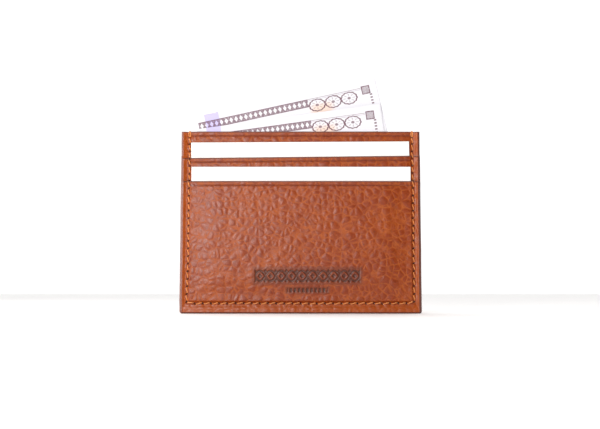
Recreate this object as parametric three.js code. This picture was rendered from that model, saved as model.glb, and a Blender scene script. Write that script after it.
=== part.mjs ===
// Minimalist wallet: a stitched leather card holder with two slip pockets on each face and a cash
// pocket in the middle. It holds two blank cards at the front and two folded notes in the middle.
// The front faces -Y, +Z is up, and the origin is at the middle of the base.
import * as THREE from "three";

// Driving dimensions, in millimetres.
const WIDTH = 100;
const HEIGHT = 75.8;
const CORNER_RADIUS = 1;
const FRONT_POCKET_TOP = 54.6;
const T_POCKET_TOP = 64.9;

// Leather thicknesses, and the glue line between sewn layers.
const DIVIDER_LEATHER = 0.7;
const T_POCKET_LEATHER = 0.6;
const OUTER_LEATHER = 1;
const GLUE_LINE = 0.05;

// Room that each pocket stands open: half of the cash pocket, a full slot and an empty slot.
const CASH_HALF_GAP = 0.45;
const FULL_SLOT = 0.5;
const EMPTY_SLOT = 0.12;

// Insets from the outer edges: sewn flat up to the first, pocket room from the second.
const SEWN_INSET = 3.6;
const OPEN_INSET = 4.2;
const SEWN_BOTTOM = 4.6;
const OPEN_BOTTOM = 5.2;

// T pocket: a wide band at the top, and a narrower tail sewn down along its floor.
const WING_BOTTOM = 50;
const WING_RAMP = 3;
const TAIL_HALF_WIDTH = 45.6;
const TAIL_BOTTOM = 12.5;
const TAIL_SEWN_TOP = 15.2;
const TAIL_OPEN_BOTTOM = 15.8;

// Thread lies in a U along the sides and the bottom, and along the floor of each T pocket.
const STITCH_INSET = 3.15;
const STITCH_Z = 4.2;
const THREAD_WIDTH = 0.6;
const THREAD_PROUD = 0.35;
const FLOOR_THREAD_INSET = 1;
const FLOOR_THREAD_PROUD = 0.12;
const STEP_RAMP = 1;

// Contents.
const CARD = { width: 91, height: 55.2, thickness: 0.4, corner: 0.2 };
const LOWER_CARD = { x: 0.2, bottom: 5.45, tilt: 0 };
const UPPER_CARD = { x: 0, bottom: 16.1, tilt: 0.3 };
const CARD_CLEARANCE = 0.05;
const NOTE = { width: 78, height: 66.3, thickness: 0.28, corner: 0.2 };
const REAR_NOTE = { right: 31.4, top: 99.2, tilt: 12.5 };
const FRONT_NOTE = { right: 33.5, top: 87.8, tilt: 8 };
const NOTE_FROM_CENTRE = 0.22;

const LEATHER = { color: 0xa8563a, roughness: 0.6, metalness: 0 };
const LINING_LEATHER = { color: 0xab5d41, roughness: 0.65, metalness: 0 };
const THREAD = { color: 0xdc873c, roughness: 0.7, metalness: 0 };
const CARD_BOARD = { color: 0xf8f8f6, roughness: 0.55, metalness: 0 };
const NOTE_PAPER = { color: 0xe9e9ee, roughness: 0.75, metalness: 0 };

const HALF_WIDTH = WIDTH / 2;
const SEWN_X = HALF_WIDTH - SEWN_INSET;
const OPEN_X = HALF_WIDTH - OPEN_INSET;
const STITCH_X = HALF_WIDTH - STITCH_INSET;
const FLOOR_STITCH_X = TAIL_HALF_WIDTH - FLOOR_THREAD_INSET;
const FLOOR_STITCH_Z = (TAIL_BOTTOM + TAIL_SEWN_TOP) / 2;
const HALF_THREAD = THREAD_WIDTH / 2;

// Every panel and thread is cut on this one grid, so layers that are in order at the grid's points
// stay in order all over.
const HALF_COLUMNS = [
  FLOOR_STITCH_X,
  TAIL_HALF_WIDTH,
  OPEN_X,
  SEWN_X,
  STITCH_X - HALF_THREAD,
  STITCH_X + HALF_THREAD,
  HALF_WIDTH,
];
const COLUMNS = [...HALF_COLUMNS.map((x) => -x).reverse(), ...HALF_COLUMNS];
const ROWS = [
  0,
  CORNER_RADIUS * 0.3,
  CORNER_RADIUS,
  STITCH_Z - HALF_THREAD,
  STITCH_Z + HALF_THREAD,
  SEWN_BOTTOM,
  OPEN_BOTTOM,
  TAIL_BOTTOM,
  FLOOR_STITCH_Z - HALF_THREAD,
  FLOOR_STITCH_Z + HALF_THREAD,
  TAIL_SEWN_TOP,
  TAIL_OPEN_BOTTOM,
  WING_BOTTOM - WING_RAMP,
  WING_BOTTOM,
  FRONT_POCKET_TOP,
  FRONT_POCKET_TOP + STEP_RAMP,
  T_POCKET_TOP,
  T_POCKET_TOP + STEP_RAMP,
  HEIGHT,
].sort((a, b) => a - b);

// 0 up to low, 1 from high, and straight between them.
const rise = (value, low, high) => THREE.MathUtils.clamp((value - low) / (high - low), 0, 1);

// 0 on the sewn margin and 1 over the pocket.
function pocketShare(x, z) {
  const side = 1 - rise(Math.abs(x), OPEN_X, SEWN_X);
  return Math.min(side, rise(z, SEWN_BOTTOM, OPEN_BOTTOM));
}

// Each layer's inner and outer face, as a distance from the wallet's middle plane. One half of the
// wallet differs from the other only in the room of its two slots.
function halfLayers(slot) {
  const cashGap = (x, z) => THREE.MathUtils.lerp(GLUE_LINE / 2, CASH_HALF_GAP, pocketShare(x, z));
  const divider = { inner: cashGap, outer: (x, z) => cashGap(x, z) + DIVIDER_LEATHER };
  const tailShare = (x, z) =>
    Math.min(pocketShare(x, z), rise(z, TAIL_SEWN_TOP, TAIL_OPEN_BOTTOM));
  const tInner = (x, z) =>
    divider.outer(x, z) + THREE.MathUtils.lerp(GLUE_LINE, slot, tailShare(x, z));
  const tPocket = { inner: tInner, outer: (x, z) => tInner(x, z) + T_POCKET_LEATHER };
  const overWing = (z) =>
    (T_POCKET_LEATHER + GLUE_LINE) * rise(z, WING_BOTTOM - WING_RAMP, WING_BOTTOM);
  const sewnBase = (z) => GLUE_LINE / 2 + DIVIDER_LEATHER + GLUE_LINE + overWing(z);
  const openBase = CASH_HALF_GAP + DIVIDER_LEATHER + slot + T_POCKET_LEATHER + slot;
  const pocketInner = (x, z) => THREE.MathUtils.lerp(sewnBase(z), openBase, pocketShare(x, z));
  const pocket = { inner: pocketInner, outer: (x, z) => pocketInner(x, z) + OUTER_LEATHER };
  return { divider, tPocket, pocket };
}

// The seam thread rides on whichever layer is outermost, and slopes down past each pocket's edge.
function seamThreadInner(x, z) {
  const offPocket = rise(z, FRONT_POCKET_TOP, FRONT_POCKET_TOP + STEP_RAMP);
  const offTPocket = rise(z, T_POCKET_TOP, T_POCKET_TOP + STEP_RAMP);
  const overWing = rise(z, WING_BOTTOM - WING_RAMP, WING_BOTTOM);
  return (
    GLUE_LINE * 2.5 +
    DIVIDER_LEATHER +
    OUTER_LEATHER +
    (T_POCKET_LEATHER + GLUE_LINE) * (overWing - offTPocket) -
    (OUTER_LEATHER + GLUE_LINE) * offPocket
  );
}

// Half of the outline's width at a height, with the two bottom corners rounded.
function edgeX(z) {
  if (z >= CORNER_RADIUS) return HALF_WIDTH;
  const below = CORNER_RADIUS - z;
  return HALF_WIDTH - CORNER_RADIUS + Math.sqrt(CORNER_RADIUS ** 2 - below ** 2);
}

// A closed sheet between two distance fields, over the grid cells that covers(x, z) accepts.
// side is -1 for the front half and 1 for the back half.
function sheetGeometry({ inner, outer }, covers, side) {
  const positions = [];
  const index = [];
  const numbers = new Map();
  const point = (column, row, layer) => {
    const key = `${column},${row},${layer}`;
    if (!numbers.has(key)) {
      const z = ROWS[row];
      const onEdge = column === 0 || column === COLUMNS.length - 1;
      const x = onEdge ? Math.sign(COLUMNS[column]) * edgeX(z) : COLUMNS[column];
      const distance = (layer === "outer" ? outer : inner)(COLUMNS[column], z);
      numbers.set(key, positions.length / 3);
      positions.push(x, side * distance, z);
    }
    return numbers.get(key);
  };
  // Splits a quad along its a-c diagonal, and turns it to face the other way when asked.
  const quad = ([a, b, c, d], turned) => {
    if (turned) index.push(a, c, b, a, d, c);
    else index.push(a, b, c, a, c, d);
  };
  const covered = (column, row) => {
    const inGrid = column >= 0 && row >= 0 && column < COLUMNS.length - 1 && row < ROWS.length - 1;
    if (!inGrid) return false;
    const x = (COLUMNS[column] + COLUMNS[column + 1]) / 2;
    return covers(x, (ROWS[row] + ROWS[row + 1]) / 2);
  };
  const wall = (column, row, nextColumn, nextRow) => {
    const foot = [point(column, row, "inner"), point(nextColumn, nextRow, "inner")];
    const head = [point(nextColumn, nextRow, "outer"), point(column, row, "outer")];
    quad([...foot, ...head], side > 0);
  };
  for (let column = 0; column < COLUMNS.length - 1; column++) {
    for (let row = 0; row < ROWS.length - 1; row++) {
      if (!covered(column, row)) continue;
      const corners = [
        [column, row],
        [column + 1, row],
        [column + 1, row + 1],
        [column, row + 1],
      ];
      quad(corners.map(([c, r]) => point(c, r, "outer")), side > 0);
      quad(corners.map(([c, r]) => point(c, r, "inner")), side < 0);
      if (!covered(column, row - 1)) wall(column, row, column + 1, row);
      if (!covered(column + 1, row)) wall(column + 1, row, column + 1, row + 1);
      if (!covered(column, row + 1)) wall(column + 1, row + 1, column, row + 1);
      if (!covered(column - 1, row)) wall(column, row + 1, column, row);
    }
  }
  const geometry = new THREE.BufferGeometry();
  geometry.setAttribute("position", new THREE.Float32BufferAttribute(positions, 3));
  geometry.setIndex(index);
  geometry.computeVertexNormals();
  return geometry;
}

function addMesh(parent, name, geometry, finish) {
  const mesh = new THREE.Mesh(geometry, new THREE.MeshStandardMaterial(finish));
  mesh.name = name;
  parent.add(mesh);
  return mesh;
}

// Which grid cells each kind of piece covers.
const wholePanel = () => true;
const below = (top) => (x, z) => z < top;
const tShape = (x, z) => {
  if (z > T_POCKET_TOP || z < TAIL_BOTTOM) return false;
  return z > WING_BOTTOM || Math.abs(x) < TAIL_HALF_WIDTH;
};
const onSideStitch = (x) => Math.abs(Math.abs(x) - STITCH_X) < HALF_THREAD;
const seamPath = (x, z) => {
  const onBottom = Math.abs(z - STITCH_Z) < HALF_THREAD && Math.abs(x) < STITCH_X;
  return onBottom || (onSideStitch(x) && z > STITCH_Z - HALF_THREAD);
};
const floorPath = (x, z) =>
  Math.abs(x) < FLOOR_STITCH_X && Math.abs(z - FLOOR_STITCH_Z) < HALF_THREAD;

// The three leather panels and two runs of thread of one half.
function addHalf(parent, half, side, slot) {
  const { divider, tPocket, pocket } = halfLayers(slot);
  const floorInner = (x, z) => tPocket.outer(x, z) + GLUE_LINE / 2;
  const floorThread = {
    inner: floorInner,
    outer: (x, z) => floorInner(x, z) + FLOOR_THREAD_PROUD,
  };
  const seamThread = {
    inner: seamThreadInner,
    outer: (x, z) => seamThreadInner(x, z) + THREAD_PROUD,
  };
  const add = (name, layer, covers, finish) =>
    addMesh(parent, `${half}_${name}`, sheetGeometry(layer, covers, side), finish);
  add("divider", divider, wholePanel, LINING_LEATHER);
  add("t_pocket", tPocket, tShape, LINING_LEATHER);
  add("pocket_panel", pocket, below(FRONT_POCKET_TOP), LEATHER);
  add("seam_thread", seamThread, seamPath, THREAD);
  add("floor_thread", floorThread, floorPath, THREAD);
}

// A loop of thread over the top edge, from the front seam to the back seam.
function addEdgeLoop(parent, name, x) {
  const reach = seamThreadInner(x, HEIGHT) + THREAD_PROUD;
  const arch = new THREE.Shape();
  arch.moveTo(-reach, 0);
  arch.quadraticCurveTo(-reach, THREAD_PROUD, 0, THREAD_PROUD * 1.4);
  arch.quadraticCurveTo(reach, THREAD_PROUD, reach, 0);
  const geometry = new THREE.ExtrudeGeometry(arch, {
    depth: THREAD_WIDTH,
    bevelEnabled: false,
    curveSegments: 4,
  });
  // The shape's plane becomes YZ and its depth runs along X.
  geometry.applyMatrix4(
    new THREE.Matrix4().makeBasis(
      new THREE.Vector3(0, 1, 0),
      new THREE.Vector3(0, 0, 1),
      new THREE.Vector3(1, 0, 0),
    ),
  );
  addMesh(parent, name, geometry, THREAD).position.set(x - HALF_THREAD, 0, HEIGHT + GLUE_LINE);
}

// A flat rectangle with small corners, standing in the XZ plane, with its middle at the origin.
function plateGeometry({ width, height, thickness, corner }) {
  const [right, top] = [width / 2, height / 2];
  const outline = new THREE.Shape();
  outline.moveTo(corner - right, -top);
  outline.lineTo(right - corner, -top);
  outline.lineTo(right, corner - top);
  outline.lineTo(right, top - corner);
  outline.lineTo(right - corner, top);
  outline.lineTo(corner - right, top);
  outline.lineTo(-right, top - corner);
  outline.lineTo(-right, corner - top);
  const geometry = new THREE.ExtrudeGeometry(outline, { depth: thickness, bevelEnabled: false });
  geometry.translate(0, 0, -thickness / 2);
  return geometry.rotateX(Math.PI / 2);
}

function addCard(parent, name, place, distance) {
  const mesh = addMesh(parent, name, plateGeometry(CARD), CARD_BOARD);
  mesh.rotation.y = -THREE.MathUtils.degToRad(place.tilt);
  mesh.position.set(place.x, -distance - CARD.thickness / 2, place.bottom + CARD.height / 2);
}

// A folded note is placed by its upper right corner, and rises towards the right by its tilt.
function addNote(parent, name, place, y) {
  const mesh = addMesh(parent, name, plateGeometry(NOTE), NOTE_PAPER);
  const tilt = THREE.MathUtils.degToRad(place.tilt);
  const [across, up] = [NOTE.width / 2, NOTE.height / 2];
  mesh.rotation.y = -tilt;
  mesh.position.set(
    place.right - across * Math.cos(tilt) + up * Math.sin(tilt),
    y,
    place.top - across * Math.sin(tilt) - up * Math.cos(tilt),
  );
}

const assembly = new THREE.Group();
addHalf(assembly, "front", -1, FULL_SLOT);
addHalf(assembly, "back", 1, EMPTY_SLOT);
addEdgeLoop(assembly, "left_edge_loop", -STITCH_X);
addEdgeLoop(assembly, "right_edge_loop", STITCH_X);
const upperSlot = CASH_HALF_GAP + DIVIDER_LEATHER;
const lowerSlot = upperSlot + FULL_SLOT + T_POCKET_LEATHER;
addCard(assembly, "upper_card", UPPER_CARD, upperSlot + CARD_CLEARANCE);
addCard(assembly, "lower_card", LOWER_CARD, lowerSlot + CARD_CLEARANCE);
addNote(assembly, "front_note", FRONT_NOTE, -NOTE_FROM_CENTRE);
addNote(assembly, "rear_note", REAR_NOTE, NOTE_FROM_CENTRE);
// The full front slots make the front half thicker, so the middle plane lies behind the origin.
assembly.position.y = FULL_SLOT - EMPTY_SLOT;

const part = new THREE.Group();
part.add(assembly);
export default part;
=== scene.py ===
"""The looks of a minimalist leather wallet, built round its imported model.

Lengths inside the builders are millimetres in the row frame (front facing -Y, +Z up). Each mesh is
scaled to metres once, when its object is made.
"""

import math
from collections import namedtuple
from functools import partial, partialmethod, reduce

import bpy
import numpy as np
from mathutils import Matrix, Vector


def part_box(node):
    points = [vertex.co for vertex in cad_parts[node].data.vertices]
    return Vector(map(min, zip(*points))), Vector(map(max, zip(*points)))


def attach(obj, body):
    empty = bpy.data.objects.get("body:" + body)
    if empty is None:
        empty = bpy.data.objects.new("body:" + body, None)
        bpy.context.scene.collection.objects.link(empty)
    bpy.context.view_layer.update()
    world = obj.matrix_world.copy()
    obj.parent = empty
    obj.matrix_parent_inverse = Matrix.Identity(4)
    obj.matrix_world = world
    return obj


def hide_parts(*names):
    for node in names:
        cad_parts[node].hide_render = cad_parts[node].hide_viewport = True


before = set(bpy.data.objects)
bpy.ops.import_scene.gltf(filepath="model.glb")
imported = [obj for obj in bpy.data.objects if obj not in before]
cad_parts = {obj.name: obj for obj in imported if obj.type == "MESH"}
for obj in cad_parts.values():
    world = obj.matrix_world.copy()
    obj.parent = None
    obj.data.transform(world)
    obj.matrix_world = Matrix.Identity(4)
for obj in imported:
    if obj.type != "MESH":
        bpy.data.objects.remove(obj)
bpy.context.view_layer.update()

MM = 0.001
FRONT, BACK = -1, 1
SIDES = ((FRONT, "front"), (BACK, "back"))

# Leather, by layer, and the glue line between sewn layers.
DIVIDER_LEATHER = 0.7
T_POCKET_LEATHER = 0.6
OUTER_LEATHER = 1.0
GLUE_LINE = 0.05
CASH_HALF_GAP = 0.45

# Insets from the outer edges: sewn flat up to the first, and pocket room from the second.
SEWN_INSET = 3.5
OPEN_INSET = 4.35
SEWN_BOTTOM = 4.1
OPEN_BOTTOM = 5.3

# The sanded edge is round across the whole stack, and each layer's own arris is softened too.
# The lower edge is squarer: it is rounded less, and turns in over less width.
CORNER_RADIUS = 1.1
EDGE_ROUNDING = 1.0
EDGE_BAND = 2.0
SIDE_ROUNDING, SIDE_REACH = 0.4, 0.85
LIP_ROUNDING, LIP_REACH = 0.3, 0.5
FOOT_ROUNDING = 0.4
FOOT_SHARPNESS = 2.0

# Half of the sewn stack's thickness, by the layers that a height has.
POCKET_STACK, SLOT_STACK, DIVIDER_STACK = 1.8, 1.4, 0.75

# How far a visible layer drapes past its pocket's walls, and how thin it may get at the bend.
SPREAD = 1.3
BENT_LEATHER = 0.4
THINNEST_LEATHER = 0.45

# The pocket panel falls away to its seam, and the sewn margin outside it flares out again.
CROWN = 0.55
CROWN_TOP, CROWN_END = 2.5, 12
MARGIN_FLARE = 0.42
SEAM_VALLEY = 0.1

# A creased line runs below each pocket's top edge, and the leather swells a little above it.
CREASE_BELOW = 1.75
CREASE_DEPTH = 0.26
CREASE_LIP = 0.02

# The T pockets: wings across the top, and a narrower tail with a floor seam of its own.
T_POCKET_RISE = 0.010
WING_BOTTOM = 50.0
WING_RAMP = 3.0
TAIL_HALF_WIDTH = 45.6
TAIL_BOTTOM = 12.5
TAIL_SEWN_TOP = 15.2
TAIL_OPEN_BOTTOM = 15.8

# Stitches. The thread's runs lie between slanted holes.
SIDE_PITCH = 3.13
BASE_PITCH = 3.35
FIRST_SIDE_HOLE = 4.9
LAST_HOLE_BELOW = 1.6
BASE_HOLE_INSET = 2.5
LEFT_SEAM_DRIFT = 0.45
RIGHT_SEAM_DRIFT = 0.15
HOLE_HALF_LENGTH = 0.74
HOLE_HALF_WIDTH = 0.4
HOLE_DEPTH = 0.4
HOLE_DIMPLE = 0.14
HOLE_SLANT = math.radians(42)
THREAD_RADIUS = 0.25
CAD_THREAD_HALF = 0.3

# Notes, folded once across their length.
NOTE_LENGTH = 156.0
NOTE_HEIGHT = 66.3
PAPER = 0.1
REAR_TILT = math.radians(12.5)
FRONT_TILT = math.radians(8)
UPPER_CARD_TILT = math.radians(0.3)


def box_mm(node):
    low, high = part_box(node)
    return np.array(low) / MM, np.array(high) / MM


HALF_WIDTH, front_divider_back, HEIGHT = box_mm("front_divider")[1]
MIDDLE_Y = (front_divider_back + box_mm("back_divider")[0][1]) / 2
POCKET_TOP = box_mm("front_pocket_panel")[1][2]
T_POCKET_TOP = box_mm("front_t_pocket")[1][2]
seam_low, seam_high = box_mm("front_seam_thread")
STITCH_X = seam_high[0] - CAD_THREAD_HALF
STITCH_Z = seam_low[2] + CAD_THREAD_HALF


def slot_room(node, side):
    """The room between a divider and its T pocket, read from how far the T pocket stands out."""
    low, high = box_mm(node)
    reach = high[1] - MIDDLE_Y if side == BACK else MIDDLE_Y - low[1]
    return reach - CASH_HALF_GAP - DIVIDER_LEATHER - T_POCKET_LEATHER


SLOT = {side: slot_room(f"{half}_t_pocket", side) for side, half in SIDES}


# ---- numbers


def smooth(value, low, high):
    """0 up to low, 1 from high, and an S-curve between them."""
    t = np.clip((value - low) / (high - low), 0, 1)
    return t * t * (3 - 2 * t)


def bump(value, centre, width):
    return np.exp(-(((value - centre) / width) ** 2))


def rounded(distance, reach):
    """The fall of a rounded arris as a share: 1 at its edge, and 0 from reach inwards."""
    return 1 - np.sqrt(1 - np.clip(1 - distance / reach, 0, 1) ** 2)


def grid_lines(*stops):
    """Lines from each (position, step) stop to the next, at about that step."""
    lines = [stops[0][0]]
    for (start, step), (end, _) in zip(stops, stops[1:]):
        count = max(1, round((end - start) / step))
        lines.extend(start + (end - start) * np.arange(1, count + 1) / count)
    return np.array(lines)


def mirrored(half):
    """Lines from -end to end, out of lines from 0 to end."""
    return np.concatenate([-half[:0:-1], half])


def wander(value, seed, amplitude, wavelength):
    """A slow irregular wave, the same on every run."""
    rng = np.random.default_rng(seed)
    total = np.zeros_like(value, dtype=float)
    for share in (1.0, 0.53, 0.29):
        phase = rng.uniform(0, 2 * math.pi)
        total += share * np.sin(2 * math.pi * value / (wavelength * share) + phase)
    return amplitude * total / 1.82


# ---- stitch holes


def seam_holes():
    """(x, z, direction of the seam) of each hole, from the top left down, along, and up again."""
    side_count = int((HEIGHT - LAST_HOLE_BELOW - FIRST_SIDE_HOLE) / SIDE_PITCH) + 1
    side = [FIRST_SIDE_HOLE + SIDE_PITCH * k for k in range(side_count)]
    half_count = int((STITCH_X - BASE_HOLE_INSET) / BASE_PITCH)
    base = [BASE_PITCH * k for k in range(-half_count, half_count + 1)]
    left = [LEFT_SEAM_DRIFT * smooth(z, 5, 25) - STITCH_X for z in side]
    holes = [(x, z, -math.pi / 2) for x, z in zip(reversed(left), reversed(side))]
    holes += [(x, STITCH_Z, 0.0) for x in base]
    holes += [(STITCH_X - RIGHT_SEAM_DRIFT, z, math.pi / 2) for z in side]
    rng = np.random.default_rng(5)
    return [(x + rng.normal(0, 0.05), z + rng.normal(0, 0.06), a) for x, z, a in holes]


HOLES = seam_holes()


def hole_axis(direction):
    """The way a hole's long axis points: down to the right on the base, up to it at the sides."""
    return -HOLE_SLANT if direction == 0 else math.pi / 2 - HOLE_SLANT


def hole_field(x, z):
    """(how deep in a hole, how near to one), from 0 to 1, at each point."""
    deep, near = np.zeros_like(x), np.zeros_like(x)
    for hx, hz, direction in HOLES:
        window = (np.abs(x - hx) < 2) & (np.abs(z - hz) < 2)
        dx, dz = x[window] - hx, z[window] - hz
        axis = hole_axis(direction)
        along = dx * math.cos(axis) + dz * math.sin(axis)
        across = -dx * math.sin(axis) + dz * math.cos(axis)
        reach = np.hypot(along / HOLE_HALF_LENGTH, across / HOLE_HALF_WIDTH)
        deep[window] = np.maximum(deep[window], 1 - smooth(reach, 0.55, 1.1))
        near[window] = np.maximum(near[window], np.exp(-(dx**2 + dz**2) / 0.8))
    return deep, near


# ---- layers


def seam_side(x, z):
    """How far a point lies inside the seam, and below 0 on the sewn margin outside it."""
    return np.minimum(STITCH_X - np.abs(x), z - STITCH_Z)


def pocket_share(x, z, spread=0.0):
    """0 where the layers are sewn flat, 1 over the pocket, and a ramp as wide as spread asks."""
    side = smooth(HALF_WIDTH - np.abs(x), SEWN_INSET - spread, OPEN_INSET + 1.3 * spread)
    return np.minimum(side, smooth(z, SEWN_BOTTOM - spread, OPEN_BOTTOM + 2 * spread))


def wing_share(z):
    """1 at heights where the T pocket's wings reach the side edges, and 0 below them."""
    return smooth(z, WING_BOTTOM - WING_RAMP, WING_BOTTOM)


def divider_inner(x, z, slot, spread=0.0):
    return GLUE_LINE / 2 + (CASH_HALF_GAP - GLUE_LINE / 2) * pocket_share(x, z, spread)


def t_pocket_inner(x, z, slot, spread=0.0):
    floor = smooth(z, TAIL_SEWN_TOP, TAIL_OPEN_BOTTOM)
    share = np.minimum(pocket_share(x, z, spread), floor)
    behind = divider_inner(x, z, slot, spread) + DIVIDER_LEATHER
    return behind + GLUE_LINE + (slot - GLUE_LINE) * share


def pocket_inner(x, z, slot, spread=0.0):
    wing = (T_POCKET_LEATHER + GLUE_LINE) * wing_share(z)
    sewn = GLUE_LINE * 1.5 + DIVIDER_LEATHER + wing
    full = CASH_HALF_GAP + DIVIDER_LEATHER + slot + T_POCKET_LEATHER + slot
    return sewn + (full - sewn) * pocket_share(x, z, spread)


Layer = namedtuple("Layer", "inner leather top shown_from")
DIVIDER = Layer(divider_inner, DIVIDER_LEATHER, HEIGHT, T_POCKET_TOP)
T_POCKET = Layer(t_pocket_inner, T_POCKET_LEATHER, T_POCKET_TOP, POCKET_TOP)
POCKET = Layer(pocket_inner, OUTER_LEATHER, POCKET_TOP, -2.0)


def stack_half(z):
    """Half of the sewn stack's thickness at a height."""
    pockets = POCKET_STACK + (T_POCKET_LEATHER + GLUE_LINE) * wing_share(z)
    slots = np.where(z < T_POCKET_TOP + 0.6, SLOT_STACK, DIVIDER_STACK)
    return np.where(z < POCKET_TOP + 0.01, pockets, slots)


def edge_inset(distance, z):
    """The sanded edge is round across the whole stack, so its outer layers end further in."""
    half = stack_half(z)
    ratio = np.clip(np.abs(distance) / (half + 0.1), 0, 1)
    return EDGE_ROUNDING * np.sqrt(half / POCKET_STACK) * (1 - np.sqrt(1 - ratio**2))


def round_corner(x, z):
    """Pulls the square grid into the rounded lower corners."""
    across = np.clip((np.abs(x) - (HALF_WIDTH - CORNER_RADIUS)) / CORNER_RADIUS, 0, 1)
    down = np.clip((CORNER_RADIUS - z) / CORNER_RADIUS, 0, 1)
    shift_x = across * (1 - np.sqrt(1 - down**2 / 2)) * CORNER_RADIUS
    shift_z = down * (1 - np.sqrt(1 - across**2 / 2)) * CORNER_RADIUS
    return x - np.sign(x) * shift_x, z + shift_z


def from_outline(x, z):
    """How far in from the side edges, and from the lower edge, which is squarer."""
    return np.minimum(HALF_WIDTH - np.abs(x), FOOT_SHARPNESS * z)


def place_layer(x, z, distance, side, slant=0.0):
    """Points of a layer's face: the grid fitted to the sanded outline, set off from the middle."""
    x, z = round_corner(x, z)
    inset = edge_inset(distance, z) - wander(z + 40 * np.sign(x), 3, 0.05, 31)
    margin = np.clip((np.abs(x) - (HALF_WIDTH - EDGE_BAND)) / EDGE_BAND, 0, 1)
    foot = FOOT_ROUNDING * np.clip((EDGE_BAND - z) / EDGE_BAND, 0, 1)
    lift = slant * x * smooth(z, WING_BOTTOM, T_POCKET_TOP)
    fitted_x = x - np.sign(x) * inset * margin
    return np.stack([fitted_x, MIDDLE_Y + side * distance, z + inset * foot + lift], axis=-1)


def draped(layer, x, z, slot):
    """The grain side before it is creased: where it shows, it drapes over the pocket's walls."""
    spread = SPREAD * smooth(z, layer.shown_from, layer.shown_from + 1)
    thinned = layer.inner(x, z, slot) - layer.leather + BENT_LEATHER
    return np.maximum(layer.inner(x, z, slot, spread), thinned) + layer.leather


def outer_distance(layer, x, z, slot, deep, near):
    """The grain side of a layer: drawn in at its seam, flared outside it, creased below its top."""
    seam = seam_side(x, z)
    crown = 0.0
    if layer.leather == OUTER_LEATHER:
        crown = CROWN * smooth(seam, 0.2, CROWN_TOP) * (1 - smooth(seam, CROWN_TOP, CROWN_END))
    valley = SEAM_VALLEY * bump(seam, 0, 0.6) + HOLE_DIMPLE * near
    margin = MARGIN_FLARE * smooth(-seam, 0.3, 2.4)
    between = smooth(STITCH_X - np.abs(x), -0.4, 0.5)
    below = layer.top - z
    crease = CREASE_DEPTH * bump(below, CREASE_BELOW, 0.24) * between
    lip = CREASE_LIP * bump(below, CREASE_BELOW - 0.85, 0.6) * between
    face = draped(layer, x, z, slot) - crown - valley + margin - crease + lip
    thinnest = layer.inner(x, z, slot) + THINNEST_LEATHER * layer.leather
    side_arris = SIDE_ROUNDING * rounded(from_outline(x, z), SIDE_REACH)
    arris = LIP_ROUNDING * rounded(below, LIP_REACH) + side_arris
    return np.maximum(face, thinnest) - HOLE_DEPTH * deep - arris


# ---- meshes


def unit(vectors):
    """The vectors brought to length 1, but left at 0 where they are 0."""
    length = np.linalg.norm(vectors, axis=-1, keepdims=True)
    return vectors / np.where(length > 0, length, 1)


RIM_STEPS = (0.12, 0.3, 0.5, 0.7, 0.88)
LEATHER_RIM_BULGE = 0.1
CARD_RIM_BULGE = 0.04


def add_object(name, data):
    obj = bpy.data.objects.new(name, data)
    bpy.context.scene.collection.objects.link(obj)
    return obj


def settle(piece, node, body):
    """The piece rides on a body and stands for a CAD node, which it hides."""
    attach(piece, body)
    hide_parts(node)


def make_object(name, points, faces, materials, slots=None, values=None):
    """A mesh object from points in millimetres. Faces with material 1 are shaded flat."""
    mesh = bpy.data.meshes.new(name)
    mesh.from_pydata((np.asarray(points) * MM).tolist(), [], faces)
    for material in materials:
        mesh.materials.append(material)
    slots = np.zeros(len(faces), dtype=np.int32) if slots is None else slots
    mesh.polygons.foreach_set("material_index", slots)
    mesh.polygons.foreach_set("use_smooth", slots != 1)
    for key, value in (values or {}).items():
        layer = mesh.attributes.new(key, "FLOAT", "POINT")
        layer.data.foreach_set("value", np.asarray(value, dtype=np.float32).ravel())
    mesh.update()
    return add_object(name, mesh)


def whole(*lines):
    """Every cell of the grid on these lines."""
    return np.ones([len(line) - 1 for line in lines], dtype=bool)


def outline_edges(covered, number):
    """Directed edges round the covered cells, with the covered side on their left."""
    padded = np.pad(covered, 1)
    a, b = number[:-1, :-1], number[1:, :-1]
    c, d = number[1:, 1:], number[:-1, 1:]
    open_sides = [
        (covered & ~padded[1:-1, :-2], a, b),
        (covered & ~padded[2:, 1:-1], b, c),
        (covered & ~padded[1:-1, 2:], c, d),
        (covered & ~padded[:-2, 1:-1], d, a),
    ]
    return np.concatenate([np.stack([p[free], q[free]], axis=1) for free, p, q in open_sides])


def outline_normals(edges, points):
    """The way out of the outline, in the plane of the leaf, at each of its points."""
    step = points[edges[:, 1]] - points[edges[:, 0]]
    out = unit(np.stack([step[:, 2], np.zeros(len(step)), -step[:, 0]], axis=1))
    total = np.zeros_like(points)
    np.add.at(total, edges[:, 0], out)
    np.add.at(total, edges[:, 1], out)
    return unit(total)


def flat_blocks(covered, x, z, areas, number):
    """Takes the cells of each flat (x0, x1, z0, z1) area out of covered, for one large face."""
    rest, blocks = covered.copy(), []
    for x0, x1, z0, z1 in areas:
        i0, i1 = np.searchsorted(x, (x0, x1))
        j0, j1 = np.searchsorted(z, (z0, z1))
        rest[i0:i1, j0:j1] = False
        loop = [number[i0:i1, j0], number[i1, j0:j1], number[i1:i0:-1, j1], number[i0, j1:j0:-1]]
        blocks.append(np.concatenate(loop))
    return rest, blocks


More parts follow.
